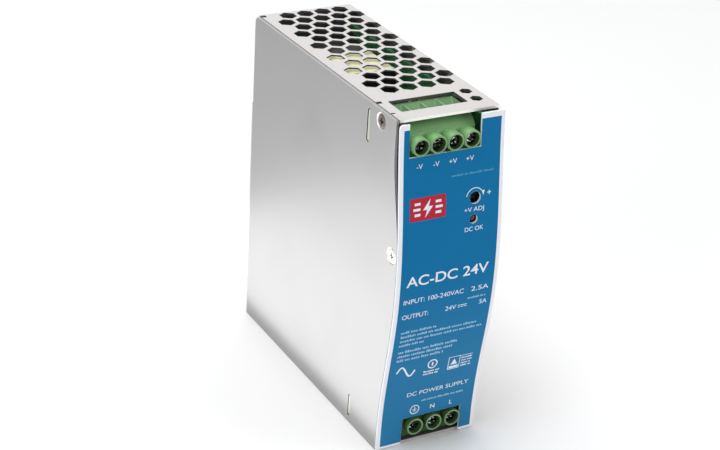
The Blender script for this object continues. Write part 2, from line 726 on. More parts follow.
def make_front():
    panel = wave_sheet("front_panel_sheet", (TRAY_LEFT, -TRAY_LEFT), PANEL_Z, (PANEL_FRONT, PANEL_BACK))
    flange, hole = bmesh.new(), bmesh.new()
    inside = front_line(FLANGE_Z[0], FLANGE_Z[1], PANEL_BACK - SHEET / 2)
    back = [(depth(FLANGE_BACK), FLANGE_Z[1]), (depth(FLANGE_BACK), FLANGE_Z[0])]
    add_prism(flange, "X", inside + back, TRAY_LEFT, TRAY_LEFT + SHEET)
    extend(panel, flange)
    place, z = COVER_SCREWS["cover_screw_front"]
    add_cylinder(hole, "X", (depth(place), z), 1.8, TRAY_LEFT - SHEET, TRAY_LEFT + 2 * SHEET, 24)
    cut(panel, opening_cutters(PANEL_MARGIN), hole)
    finish_piece(panel, "sheet", ["front_panel"], "case_metal", 0.1)
    inner = (LEFT + 2.5, RIGHT - 2.5)
    repaint(panel, "dark_lining", lambda c, n: inner[0] < c.x < inner[1]
            and (abs(n.x) > 0.3 or abs(n.z) > 0.6))

    label = wave_sheet("label_plate", (LEFT, RIGHT), LABEL_Z, (PRINT_STEP * 3, LABEL_THICK))
    corner = bmesh.new()
    round_x, top = 1.0, LABEL_Z[1]
    arc = [(LEFT + round_x * (1 - math.cos(a)), top - round_x * (1 - math.sin(a)))
            for a in (math.pi / 2 * i / 6 for i in range(7))]
    outline = arc + [(LEFT + round_x, top + 1.0), (LEFT - 1.0, top + 1.0), (LEFT - 1.0, top - round_x)]
    add_prism(corner, "Y", outline, FRONT_Y - 1.0, CORNER_Y + 2)
    cut(label, opening_cutters(0.0), corner)
    finish_piece(label, "white_film", ["front_label"], "front_print", 0.06, 2)

    blue = wave_sheet("label_blue_field", BLUE_X, BLUE_Z, (PRINT_STEP * 2, PRINT_STEP * 3))
    cut(blue, opening_cutters(BLUE_INSET))
    finish_piece(blue, "blue_ink", (), "front_print")


# ---------------------------------------------------------------- printed marks
def text_shape(words, height, left, base, width=None, bold=False):
    """Letters as a flat mesh in X and Z, fitted to a width where one is given."""
    curve = bpy.data.curves.new("letters", "FONT")
    curve.body = words
    curve.size = height / 0.70
    curve.offset = 0.016 * height if bold else 0.0
    item = bpy.data.objects.new("letters", curve)
    bpy.context.scene.collection.objects.link(item)
    graph = bpy.context.evaluated_depsgraph_get()
    graph.update()
    mesh = bpy.data.meshes.new_from_object(item.evaluated_get(graph))
    bm = bmesh.new()
    bm.from_mesh(mesh)
    bpy.data.objects.remove(item)
    bpy.data.curves.remove(curve)
    bpy.data.meshes.remove(mesh)
    low = min(v.co.x for v in bm.verts)
    high = max(v.co.x for v in bm.verts)
    stretch = width / (high - low) if width else 1.0
    for vert in bm.verts:
        x, z = vert.co.x, vert.co.y
        vert.co = Vector((left + (x - low) * stretch, 0.0, base + z))
    return bm


def flat_shape(outline):
    bm = bmesh.new()
    bm.faces.new([bm.verts.new((x, 0.0, z)) for x, z in outline])
    return bm


def bar(x, z):
    return flat_shape([(x[0], z[0]), (x[1], z[0]), (x[1], z[1]), (x[0], z[1])])


def band(points, width):
    """A line of even width through points in X and Z."""
    left, right = [], []
    for i, point in enumerate(points):
        here = Vector(point)
        run = Vector(points[min(i + 1, len(points) - 1)]) - Vector(points[max(i - 1, 0)])
        side = Vector((-run.y, run.x)).normalized() * width / 2
        left.append(tuple(here + side))
        right.append(tuple(here - side))
    bm = bmesh.new()
    a = [bm.verts.new((x, 0.0, z)) for x, z in left]
    b = [bm.verts.new((x, 0.0, z)) for x, z in right]
    for i in range(len(points) - 1):
        bm.faces.new((a[i], a[i + 1], b[i + 1], b[i]))
    return bm


def arc_points(centre, radius, start, end, steps=28):
    angles = [math.radians(start + (end - start) * i / steps) for i in range(steps + 1)]
    return [(centre[0] + radius * math.cos(a), centre[1] + radius * math.sin(a)) for a in angles]


def small_print(left, right, base, height, seed):
    """Rows of tiny blocks, standing where small print would be, that spell nothing."""
    shapes = []
    x = left
    step = seed
    while x < right:
        step = (step * 37 + 11) % 101
        letters = 3 + step % 7
        for index in range(letters):
            step = (step * 37 + 11) % 101
            wide = height * (0.38 + 0.14 * (step % 3))
            tall = height * (1.0 if step % 4 == 0 else 0.72)
            if x + wide < right:
                shapes.append(bar((x, x + wide), (base, base + tall)))
            x += wide + height * 0.24
        x += height * 0.5
    return shapes


def print_marks(name, shapes, mat, layer):
    """Wrap flat marks onto the front as one thin printed layer."""
    joined = bmesh.new()
    for shape in shapes:
        mesh = bpy.data.meshes.new("mark")
        shape.to_mesh(mesh)
        shape.free()
        joined.from_mesh(mesh)
        bpy.data.meshes.remove(mesh)
    bmesh.ops.remove_doubles(joined, verts=joined.verts, dist=0.0001)
    bmesh.ops.triangulate(joined, faces=joined.faces)
    for face in joined.faces:
        if face.normal.y > 0:
            face.normal_flip()
    for vert in joined.verts:
        vert.co.y = front_y(vert.co.z, PRINT_STEP * layer)
    made = bmesh.ops.extrude_face_region(joined, geom=list(joined.faces))
    moved = [item for item in made["geom"] if isinstance(item, bmesh.types.BMVert)]
    bmesh.ops.translate(joined, verts=moved, vec=(0.0, PRINT_STEP * 0.9, 0.0))
    piece(name, joined, mat, (), "front_print")


def terminal_marks():
    shapes = []
    for sign, x, wide in (("-V", -13.6, 2.3), ("-V", -7.3, 2.3), ("+V", -1.25, 3.0), ("+V", 5.3, 3.0)):
        shapes.append(text_shape(sign, 1.7, x, 108.8, wide))
    shapes.append(text_shape("N", 1.75, 0.9, 12.7, 1.8, True))
    shapes.append(text_shape("L", 1.75, 8.8, 12.55, 1.15, True))
    centre = (-5.5, 13.85)
    shapes.append(band(arc_points(centre, 1.75, 0, 360, 40), 0.32))
    shapes.append(bar((centre[0] - 0.13, centre[0] + 0.13), (centre[1], centre[1] + 1.2)))
    for row, half in enumerate((0.95, 0.62, 0.3)):
        z = centre[1] - row * 0.42
        shapes.append(bar((centre[0] - half, centre[0] + half), (z - 0.1, z + 0.1)))
    return shapes


def adjuster_marks():
    x, z = TRIMMER
    middle = (x - 0.1, z + 0.1)
    tip = arc_points(middle, 3.35, 6, 6, 1)[0]
    shapes = [band(arc_points(middle, 3.35, 168, 32), 0.28)]
    shapes.append(flat_shape([tip, (tip[0] - 0.75, tip[1] + 1.6), (tip[0] + 0.45, tip[1] + 1.75)]))
    plus_x, plus_z = (x + 5.45, z + 1.1)
    for left, right, low, high in ((-0.75, 0.75, -0.15, 0.15), (-0.15, 0.15, 0.15, 0.75),
            (-0.15, 0.15, -0.75, -0.15)):
        shapes.append(bar((plus_x + left, plus_x + right), (plus_z + low, plus_z + high)))
    shapes.append(text_shape("+V ADJ", 1.55, 5.1, 90.75, 7.7))
    shapes.append(text_shape("DC OK", 1.55, 5.5, 83.8, 7.3))
    return shapes


def rating_marks():
    """The ratings: words, letter height, left end, baseline and width; then the sign for direct current."""
    words = (("AC-DC 24V", 3.7, -16.2, 67.4, 32.2, True), ("INPUT: 100-240VAC", 1.75, -16.7, 60.8, 23.6),
            ("2.5A", 1.75, 9.9, 60.8, 6.9), ("OUTPUT:", 1.75, -16.7, 54.9, 10.3),
            ("24V", 1.75, 0.3, 54.9, 4.3), ("5A", 1.75, 13.9, 54.9, 3.0),
            ("DC POWER SUPPLY", 1.7, -9.4, 20.1, 25.0))
    shapes = [text_shape(*row) for row in words]
    shapes.append(bar((5.3, 8.9), (55.9, 56.15)))
    shapes += [bar((5.3 + 1.3 * i, 6.2 + 1.3 * i), (55.2, 55.45)) for i in range(3)]
    return shapes


def generic_marks():
    """Plain shapes where approval marks would be: a sine wave, a ring and a framed triangle."""
    wave = [((-15.3 + 0.35 * i), (31.8 + 2.2 * math.sin(i * 0.30))) for i in range(22)]
    shapes = [band(wave, 0.65)]
    centre = (-1.0, 32.7)
    shapes.append(band(arc_points(centre, 1.75, 0, 360, 40), 0.45))
    shapes.append(bar((centre[0] - 0.3, centre[0] + 0.3), (centre[1] - 0.8, centre[1] + 0.8)))
    shapes += small_print(-4.2, 2.2, 29.4, 0.8, 5)
    shapes += small_print(-4.2, 1.9, 28.3, 0.8, 29)
    box_line = [(5.7, 28.4), (5.7, 33.6), (10.2, 33.6), (10.2, 28.4), (5.7, 28.4)]
    shapes.append(band([(x, z) for x, z in box_line], 0.3))
    shapes.append(band([(10.5, 33.4), (15.3, 33.4)], 0.2))
    shapes.append(bar((6.1, 9.8), (28.7, 29.7)))
    shapes.append(flat_shape([(6.6, 30.3), (9.3, 30.3), (7.95, 32.7)]))
    for row in range(4):
        shapes += small_print(10.9, 15.2, (32.1 - 1.15 * row), 0.7, 41 + row)
    return shapes


def emblem():
    """A generic badge: a bolt between two bars on red."""
    x, z = (-15.9, -2.2), (90.9, 98.9)
    print_marks("label_badge_field", [flat_shape(rounded_outline(x, z, 0.5, 4))], "red_ink", 1)
    mid = ((x[0] + x[1]) / 2, (z[0] + z[1]) / 2)
    bolt = [(0.9, 3.2), (-1.9, -0.5), (-0.3, -0.5), (-1.1, -3.2), (1.9, 0.6), (0.3, 0.6)]
    shapes = [flat_shape([(mid[0] + a, mid[1] + b) for a, b in bolt])]
    for side in (-1, 1):
        for row in (-1, 0, 1):
            near, far = sorted((mid[0] + side * 2.9, mid[0] + side * (5.6 - 0.5 * abs(row))))
            base = mid[1] + row * 1.9
            shapes.append(bar((near, far), (base - 0.45, base + 0.45)))
    print_marks("label_badge_mark", shapes, "white_ink", 0)


def fine_marks():
    """Small print: rows as left end, right end, baseline and height in mm."""
    rows = ((8.9, 16.2, 57.9, 0.75), (-16.2, -2.1, 48.9, 0.9), (-16.1, 15.0, 47.1, 0.9),
            (-16.1, 16.8, 45.3, 0.9), (-16.2, -6.1, 43.5, 0.9), (-16.1, 7.6, 40.5, 1.0),
            (-16.1, 5.7, 38.7, 1.0), (-16.1, 2.5, 36.9, 1.0), (-3.2, 14.4, 16.8, 0.75))
    shapes = []
    for index, (left, right, base, height) in enumerate(rows):
        shapes += small_print(left, right, base, height, 7 + 13 * index)
    return shapes


def make_print():
    for name, shapes, ink in (("faint_line", small_print(-0.1, 16.4, 104.1, 0.75, 7), "faint_ink"),
            ("small_print", fine_marks(), "fine_ink"), ("terminal_marks", terminal_marks(), "white_ink"),
            ("adjuster_marks", adjuster_marks(), "white_ink"), ("ratings", rating_marks(), "white_ink"),
            ("plain_marks", generic_marks(), "white_ink")):
        print_marks(f"label_{name}", shapes, ink, 1)
    emblem()


# ---------------------------------------------------------------- terminal strips
Strip = namedtuple("Strip", "name centre pitch poles axis_z entry tip outer bore")
OUTPUT = Strip("output", -2.7, 6.47, 4, 116.5, 1, -3.2, 3.15, 2.5)
INPUT = Strip("input", 2.3, 7.62, 3, 7.2, -1, -2.2, 3.2, 2.6)
BLOCK_FRONT = 1.5
# Above its barrels a block slopes back to the wire side: depth, and distance from that side.
BLOCK_SLOPE = ((1.5, 3.8), (1.62, 3.6), (1.8, 3.4), (2.1, 3.0), (2.4, 2.6), (2.9, 2.2), (3.4, 1.8),
        (4.2, 1.38), (5.0, 1.0), (5.8, 0.64), (6.6, 0.3), (7.4, 0.0))
LEDGE = 0.25
HEAD_SINK = 1.7
HEAD_LENGTH = 1.8
SHOULDER_SINK = 3.7
CHAMBER = (3.1, 14.1)
CHAMBER_HALF = (2.65, 3.0)
CELL = (6.2, 13.6)
CELL_HALF_X = 2.55
FUNNEL = (5.9, 17.4)
FUNNEL_DROP = 3.0
WALL = 0.26
BAR_FRONT = 9.1
BAR_HALF_X = 1.45
BAR_THICK = 0.8
SHAFT_HOLE = 1.8
CAGE = (5.3, 13.7)
CAGE_HALF = (2.35, 2.7)
CAGE_SIDE = 0.6


def pole_places(strip):
    """X of each pole, left to right."""
    return [strip.centre + strip.pitch * (i - (strip.poles - 1) / 2) for i in range(strip.poles)]


def block_at(x, depths, radius, steps=3):
    """Outline of a rectangle with round corners, seen from above."""
    return rounded_outline(x, (depth(depths[0]), depth(depths[1])), radius, steps)


def block_profile(strip, mouth, foot):
    """Side of a strip's block, as (y, z): flat behind the barrels, then sloping back to the mouth."""
    steep = 1.0 if strip.entry > 0 else 0.12
    slope = [(depth((1.5 + (place - 1.5) * steep)), mouth - strip.entry * drop * steep)
            for place, drop in BLOCK_SLOPE]
    back = box(f"{strip.name}_terminal_housing")[1].y
    return slope + [(back, mouth), (back, foot), (depth(BLOCK_FRONT), foot)]


def add_barrel(bm, strip, x):
    """Tapered sleeve round a screw, with a flared foot where it grows out of the block."""
    outer = strip.outer
    profile = [(strip.tip, outer - 0.30), (strip.tip + 0.08, outer - 0.12), (strip.tip + 0.25, outer),
            (BLOCK_FRONT - 0.9, outer), (BLOCK_FRONT - 0.5, outer + 0.04), (BLOCK_FRONT - 0.3, outer + 0.12),
            (BLOCK_FRONT - 0.15, outer + 0.3), (BLOCK_FRONT + 0.6, outer + 0.3)]
    add_turned(bm, "Y", (x, strip.axis_z), [(depth(a), r) for a, r in profile], 48)


def add_funnel(bm, strip, x, mouth):
    """The wire's way in: a wide funnel at the top of a straight cell."""
    half = strip.pitch / 2 - WALL
    inside = strip.axis_z + strip.entry * (CHAMBER_HALF[1] - 1.0)
    levels = ((mouth + strip.entry * 0.3, half + 0.02, (FUNNEL[0] - 0.05, FUNNEL[1] + 0.15)),
            (mouth - strip.entry * FUNNEL_DROP, CELL_HALF_X, CELL), (inside, CELL_HALF_X, CELL))
    loops = []
    for z, reach, depths in levels:
        outline = block_at((x - reach, x + reach), depths, 0.4)
        loops.append([Vector((a, b, z)) for a, b in outline])
    add_loft(bm, loops)


def make_housing(strip):
    node = f"{strip.name}_terminal_housing"
    low, high = box(node)
    mouth, foot = (high.z, low.z) if strip.entry > 0 else (low.z, high.z)
    bm = solid(add_prism, "X", block_profile(strip, mouth, foot), low.x, high.x)
    housing = raw(f"{strip.name}_terminal_strip", bm)
    soft_edges(housing, 0.2, 3)
    ledge = bmesh.new()
    ledge_z = sorted((foot + strip.entry * 0.3, mouth - strip.entry * 3.85))
    add_box(ledge, (low.x + 0.15, high.x - 0.15), (depth(BLOCK_FRONT) - LEDGE, depth(BLOCK_FRONT + 1.0)),
            ledge_z)
    barrels = (bmesh.new(), bmesh.new())
    bores, shafts, chambers, cells, keys = (bmesh.new() for _ in range(5))
    for index, x in enumerate(pole_places(strip)):
        add_barrel(barrels[index % 2], strip, x)
        shoulder = strip.tip + SHOULDER_SINK
        bore = [(strip.tip - 0.3, strip.bore + 0.42), (strip.tip + 0.22, strip.bore), (shoulder, strip.bore)]
        add_turned(bores, "Y", (x, strip.axis_z), [(depth(a), r) for a, r in bore], 40)
        add_cylinder(shafts, "Y", (x, strip.axis_z), SHAFT_HOLE, depth(shoulder - 1.0),
                depth(CHAMBER[0] + 1.0), 28)
        add_prism(chambers, "Z", block_at((x - CHAMBER_HALF[0], x + CHAMBER_HALF[0]), CHAMBER, 0.3),
                strip.axis_z - CHAMBER_HALF[1], strip.axis_z + CHAMBER_HALF[1])
        add_funnel(cells, strip, x, mouth)
        reach = BAR_HALF_X + GAP
        slot_z = sorted((strip.axis_z - strip.entry * 2, foot - strip.entry))
        add_box(keys, (x - reach, x + reach), (depth(BAR_FRONT - GAP), depth(BAR_FRONT + BAR_THICK + GAP)),
                slot_z)
    extend(housing, ledge, *barrels)
    cut(housing, bores, shafts, chambers, cells, keys)
    finish_piece(housing, "green", [node], "terminal_plastic", 0.06, 2, 40)
    front = depth(BLOCK_FRONT)
    bright_z = mouth - strip.entry * (FUNNEL_DROP + 0.3)

    def in_bore(point, reach):
        return min(math.hypot(point.x - x, point.z - strip.axis_z) for x in pole_places(strip)) < reach

    if strip.entry < 0:
        repaint(housing, "green_shade", lambda c, n: c.y < front + 0.3 and n.y > -0.95
                or front - 0.5 < c.y < front + 0.3)
    repaint(housing, "green_shade", lambda c, n: strip.tip + CORNER_Y + 0.2 < c.y < front + 1.0
            and in_bore(c, strip.bore + 0.05))
    if strip.entry > 0:
        last = max(pole_places(strip)) + strip.bore + 0.8
        repaint(housing, "dark_plastic", lambda c, n: c.x > last and c.y < depth(FUNNEL[0]))
    repaint(housing, "green_light", lambda c, n: c.y < strip.tip + CORNER_Y + 0.3
            or (c.y > depth(FUNNEL[0]) and (c.z - bright_z) * strip.entry > 0))


def thread(start, end, radius, pitch=0.5, cut_in=0.16):
    """Profile of a threaded shaft, as rings of crests and roots."""
    turns = max(1, int(abs(end - start) / pitch))
    step = (end - start) / turns
    profile = []
    for turn in range(turns):
        profile += [(start + step * turn, radius - cut_in), (start + step * (turn + 0.45), radius)]
    return profile + [(end, radius - cut_in)]


def make_terminal_screw(strip, index, x):
    """Cheese-head screw with a slot and a shallow cross, deep in its barrel."""
    name = f"{strip.name}_screw_{index}"
    z = strip.axis_z
    front = strip.tip + HEAD_SINK
    back = front + HEAD_LENGTH
    profile = [(front, 1.45), (front + 0.1, 1.85), (front + 0.3, 2.08), (front + 0.5, 2.15),
            (back - 0.1, 2.15), (back, 2.05)]
    profile += thread(back + 0.02, BAR_FRONT - GAP - 0.4, 1.5)
    profile.append((BAR_FRONT - GAP, 1.0))
    cross = [solid(add_box, (x - half_x, x + half_x), (depth(front - 1.0), depth(front + deep)),
            (z - half_z, z + half_z)) for half_x, half_z, deep in ((3.0, 0.38, 0.85), (0.32, 1.25, 0.7))]
    bm = solid(add_turned, "Y", (x, z), [(depth(a), r) for a, r in profile], 36)
    piece(f"{name}_threaded", bm, "terminal_screw", [name], "screw_steel", 0.05, cuts=cross, body=name)


def make_terminal_clamp(strip, index, x):
    """Bent cage with a threaded collar at the front and a ribbed floor for the wire."""
    name = f"{strip.name}_clamp_{index}"
    z = strip.axis_z
    low, high = z - CAGE_HALF[1], z + CAGE_HALF[1]
    inner = CAGE_HALF[0] - CAGE_SIDE
    floor = CAGE[1] - SHEET
    window, hole, ribs = (bmesh.new() for _ in range(3))
    add_prism(window, "Z", block_at((x - inner, x + inner), (CAGE[0] + SHEET, floor), 0.3, 4), low - 1.0,
            high + 1.0)
    add_cylinder(hole, "Y", (x, z), SHAFT_HOLE - 0.15, depth(CAGE[0] - 1.0), depth(CAGE[0] + 2), 28)
    for row in range(-2, 3):
        rib_z = z + row * 0.9
        add_box(ribs, (x - inner, x + inner), (depth(floor - 0.2), depth(floor + 0.15)),
                (rib_z - 0.2, rib_z + 0.2))
    bm = solid(add_prism, "Z", block_at((x - CAGE_HALF[0], x + CAGE_HALF[0]), CAGE, 0.7, 5), low, high)
    piece(f"{name}_cage", bm, "nickel", [name], "clamp_metal", 0.08, cuts=(window, hole, ribs), body=name)


def make_terminals():
    for strip in (OUTPUT, INPUT):
        make_housing(strip)
        for index, x in enumerate(pole_places(strip), 1):
            make_terminal_screw(strip, index, x)
            make_terminal_clamp(strip, index, x)


# ---------------------------------------------------------------- screws of the case, adjuster, status light
def make_case_screw(name, axis, centre, top, inwards, mat):
    """Countersunk screw with a slightly domed head and a tapered cross recess."""
    profile = [(-0.02, 0.9), (0.0, 1.6), (0.04, 2.2), (0.12, 2.52), (0.22, 2.6), (1.35, 1.45)]
    points = [(top + inwards * a, r) for a, r in profile]
    points += thread(top + inwards * 1.4, top + inwards * 3.8, 1.4, 0.45)
    points.append((top + inwards * 4.2, 0.9))
    arms = []
    for upright in (False, True):
        loops = []
        for along, long, short in ((-0.5, 1.45 * 1.1, 0.34 * 1.1), (0.95, 1.45 * 0.55, 0.34 * 0.8)):
            a, b = (short, long) if upright else (long, short)
            loops.append([at_axis(axis, top + inwards * along, centre[0] + u, centre[1] + v)
                    for u, v in ((-a, -b), (a, -b), (a, b), (-a, b))])
        arms.append(solid(add_loft, loops))
    bm = solid(add_turned, axis, centre, points, 36)
    piece(f"{name}_threaded", bm, mat, [name], "screw_steel", 0.04, cuts=arms)


def make_case_screws():
    for name, (place, z) in COVER_SCREWS.items():
        mat = "case_screw" if name == "cover_screw_top" else "bright_screw"
        make_case_screw(name, "X", (depth(place), z), LEFT + 0.12, 1, mat)
    for name, (x, z) in BRACKET_SCREWS.items():
        make_case_screw(name, "Y", (x, z), box(name)[1].y - 0.02, -1, "screw")


def make_adjuster():
    x, z = TRIMMER
    low, high = box("trimmer_body")
    bm = solid(add_prism, "Y", rounded_outline((low.x, high.x), (low.z, high.z), 0.35, 3), low.y, high.y)
    profile = [(low.y - 1.0, 2.5), (low.y, 2.4), (low.y + 0.3, 2.1), (depth(2.5), 2.1)]
    well = solid(add_turned, "Y", (x, z), profile, 40)
    piece("trimmer_case", bm, "blue_plastic", ["trimmer_body"], "trimmer_blue", 0.12, cuts=[well])
    low, high = box("trimmer_rotor")
    profile = [(low.y, 1.45), (low.y + 0.12, 1.68), (low.y + 0.3, 1.8), (high.y, 1.8)]
    slot = solid(add_box, (x - 3, x + 3), (low.y - 1.0, low.y + 0.8), (z - 0.3, z + 0.3))
    arrow = solid(add_prism, "Y", [(x - 0.5, z + 0.5), (x + 0.5, z + 0.5), (x, z + 1.35)], low.y - 1.0,
            low.y + 0.3)
    piece("trimmer_dial", solid(add_turned, "Y", (x, z), profile, 40), "dark_plastic", ["trimmer_rotor"],
            "trimmer_dark", 0.05, cuts=(slot, arrow), body="trimmer_rotor")


def make_status_light():
    low, high = box("status_led")
    dome = [(low.y + 1.45 * (1 - math.cos(a)), 1.45 * math.sin(a) + 0.01)
            for a in (math.pi / 2 * i / 12 for i in range(13))]
    bm = solid(add_turned, "Y", LED, dome + [(depth(2.0), 1.45), (depth(2.05), 1.8), (high.y, 1.8)], 36)
    piece("status_light", bm, "led", ["status_led"], "led_red", 0.05)


# ---------------------------------------------------------------- board and what stands on it
BOSSES = ((8.5, 22.0), (8.5, 100.0), (97.5, 8.0), (97.5, 116.0))
BOARD_X = box("main_board")[0].x


def make_boards():
    low, high = box("main_board")
    bm = solid(add_prism, "X", rounded_outline((low.y, high.y), (low.z, high.z), 1.0, 5), low.x, high.x)
    board = raw("main_board_laminate", bm)
    holes, pads = bmesh.new(), bmesh.new()
    for place, z in BOSSES:
        add_cylinder(holes, "X", (depth(place), z), 1.6, low.x - 1.0, high.x + 1.0, 24)
        add_hoop(pads, "X", (depth(place), z), [(low.x - 0.05, 1.65), (low.x - 0.05, 2.9), (low.x, 2.9),
                (low.x, 1.65)], 28)
    cut(board, holes)
    finish_piece(board, "board", ["main_board"], "board_laminate", 0.1)
    piece("main_board_pads", pads, "tin", (), "clamp_metal")

    joints = bmesh.new()
    for row in range(9):
        for column in range(11):
            place = (9 + 8.6 * column + 2.3 * math.sin(row * 2.1 + column))
            z = (9 + 12.6 * row + 2.0 * math.cos(row + column * 1.7))
            dome = [(high.x, 1.0), (high.x + 0.12, 0.75), (high.x + 0.4, 0.3), (high.x + 0.5, 0.12)]
            if all(math.hypot(place - d, z - h) > 4.5 for d, h in BOSSES):
                add_turned(joints, "X", (depth(place), z), dome, 12)
    piece("main_board_solder", joints, "tin", (), "clamp_metal")

    low, high = box("front_board")
    bm = solid(add_box, (low.x, high.x), (low.y, high.y), (low.z, high.z))
    piece("front_board_laminate", bm, "dark_board", ["front_board"], "board_laminate", 0.1)


def add_hoop(bm, axis, centre, section, sides):
    """A ring whose cross-section is a closed outline of (place along the axis, radius)."""
    rings = [[bm.verts.new(at_axis(axis, along, a, b)) for a, b in ring(centre, radius, sides)]
            for along, radius in section]
    for near, far in zip(rings, rings[1:] + rings[:1]):
        for i in range(sides):
            j = (i + 1) % sides
            bm.faces.new((near[j], near[i], far[i], far[j]))


def sector(centre, inner, outer, start, end, steps):
    """Outline of part of a ring, angles in degrees."""
    near = arc_points(centre, inner, start, end, steps)
    return near + list(reversed(arc_points(centre, outer, start, end, steps)))


def make_can(node, centre, radius):
    """Electrolytic can on its side: heat-shrunk sleeve, aluminium end and pale stripe."""
    low, high = box(node)
    tip, foot = low.x, high.x
    profile = [(tip + 0.45, radius - 1.75), (tip + 0.10, radius - 1.55), (tip, radius - 1.2),
            (tip + 0.08, radius - 0.6), (tip + 0.35, radius - 0.2), (tip + 0.8, radius),
            (foot - 3.8, radius), (foot - 3.3, radius - 0.3), (foot - 2.8, radius - 0.6),
            (foot - 2.3, radius - 0.55), (foot - 1.8, radius - 0.1), (foot - 0.3, radius),
            (foot, radius - 0.4)]
    piece(f"{node}_sleeve", solid(add_turned, "X", centre, profile, 64), "sleeve", [node], "can_sleeve")
    bm = solid(add_turned, "X", centre, [(tip + 0.12, radius - 2.0), (tip + 0.2, radius - 1.7),
            (tip + 0.5, radius - 1.7)], 48)
    piece(f"{node}_end", bm, "aluminium", (), "heatsink_metal")
    bm = solid(add_prism, "X", sector(centre, radius - 0.1, radius + 0.04, 60, 100, 10), tip + 1.2,
            foot - 4.2)
    piece(f"{node}_stripe", bm, "stripe", (), "can_sleeve")


def lead_pair(name, points_list, radius=0.3):
    bm = bmesh.new()
    for points in points_list:
        add_tube(bm, [Vector(p) for p in points], radius, 10)
    piece(name, bm, "tin", (), "clamp_metal")


def make_film_capacitors():
    low, high = box("x_capacitor")
    bm = solid(add_prism, "X", rounded_outline((low.y, high.y), (low.z, high.z), 0.9, 5), low.x, high.x)
    piece("x_capacitor_box", bm, "yellow_plastic", ["x_capacitor"], "film_yellow", 0.5, 4)
    for node, key, slot, radius in (("y_capacitor", "blue_dip", "disc_blue", 4.5),
            ("thermistor", "green_dip", "thermistor_green", 6.5)):
        low, high = box(node)
        centre = ((low.x + high.x) / 2, (low.y + high.y) / 2)
        half = (high.z - low.z) / 2
        mid = (low.z + high.z) / 2
        profile = [(mid - half * math.cos(a), radius - half + half * math.sin(a))
                for a in (math.pi * i / 12 for i in range(13))]
        piece(f"{node}_disc", solid(add_turned, "Z", centre, profile, 48), key, [node], slot)
        ways = []
        for side in (-1, 1):
            y = centre[1] + side * 2.5
            start = centre[0] + math.sqrt(max(0.0, (radius - 1.0) ** 2 - (2.5) ** 2))
            kink = mid + side * 0.8
            ways.append([(start, y, mid), (start + 1.4, y, mid), (start + 2.2, y, kink), (BOARD_X, y, kink)])
        lead_pair(f"{node}_leads", ways)


def make_transformer():
    """Two E-shaped ferrite halves round a bobbin wound with tape."""
    low, high = box("transformer_core")
    wound_low, wound_high = box("transformer_winding")
    middle = (low.x + high.x) / 2
    seam = (low.y + high.y) / 2
    leg, side, yoke = 4.2, 3.0, 6.0
    for half_name, outer, inner in (("front", low.y, seam - 0.04), ("rear", high.y, seam + 0.04)):
        back = outer + (yoke if outer < seam else -yoke)
        outline = [(low.x, outer), (high.x, outer), (high.x, inner), (high.x - side, inner),
                (high.x - side, back), (middle + leg, back), (middle + leg, inner), (middle - leg, inner),
                (middle - leg, back), (low.x + side, back), (low.x + side, inner), (low.x, inner)]
        bm = solid(add_prism, "Z", outline, low.z, high.z)
        nodes = ["transformer_core"] if half_name == "front" else ()
        piece(f"transformer_core_{half_name}", bm, "ferrite", nodes, "ferrite", 0.45, 3)

    tape = (wound_low.y + 0.8, wound_high.y - 6.0)
    black = ((), "dark_plastic", "black_package")
    for name, inset, start, end, nodes, mat, slot in (
            ("tape", 0.1, *tape, ["transformer_winding"], "tape", "winding_tape"),
            ("bobbin_front", 0.2, wound_low.y, tape[0], *black),
            ("bobbin_rear", 0.2, tape[1], wound_high.y, *black)):
        outline = rounded_outline((wound_low.x + inset, wound_high.x - inset),
                (wound_low.z + inset, wound_high.z - inset), 1.2, 6)
        hole = solid(add_box, (middle - leg - GAP, middle + leg + GAP), (start - 1.0, end + 1.0),
                (low.z - GAP, high.z + GAP))
        bm = solid(add_prism, "Y", outline, start, end)
        piece(f"transformer_{name}", bm, mat, nodes, slot, 0.15, cuts=[hole])
    top = wound_high.z - 0.1
    bm = solid(add_box, (wound_low.x + 5, wound_high.x - 7), (wound_low.y + 3, wound_high.y - 8),
            (top - 0.05, top + 0.07))
    piece("transformer_tape_end", bm, "tape", (), "winding_tape")
    ways = [[(wound_high.x - 0.5, y, z), (BOARD_X, y, z)] for y in (wound_low.y + 5.2, wound_high.y - 8.2)
            for z in (wound_low.z + 5, wound_low.z + 11, wound_low.z + 19.5, wound_low.z + 25.5)]
    lead_pair("transformer_pins", ways, 0.35)


def coil_path(centre, x, radii, wire, turns, start, end, steps=14):
    """A wire wound round a ring that lies across X, between two angles in degrees."""
    middle_x, middle_r = (x[0] + x[1]) / 2, (radii[0] + radii[1]) / 2
    half_x, half_r = (x[1] - x[0]) / 2 + wire, (radii[1] - radii[0]) / 2 + wire
    points = []
    for i in range(turns * steps + 1):
        turn = 2 * math.pi * i / steps
        way = math.radians(start + (end - start) * i / (turns * steps))
        c, s = math.cos(turn), math.sin(turn)
        out = middle_r + half_r * math.copysign(abs(c) ** 0.55, c)
        along = middle_x + half_x * math.copysign(abs(s) ** 0.55, s)
        points.append(Vector((along, centre[0] + out * math.cos(way), centre[1] + out * math.sin(way))))
    return points


def make_ring_core(name, nodes, centre, x, radii, mat, slot):
    piece(name, solid(add_hoop, "X", centre, rounded_outline(x, radii, 0.5, 4), 56), mat, nodes, slot)


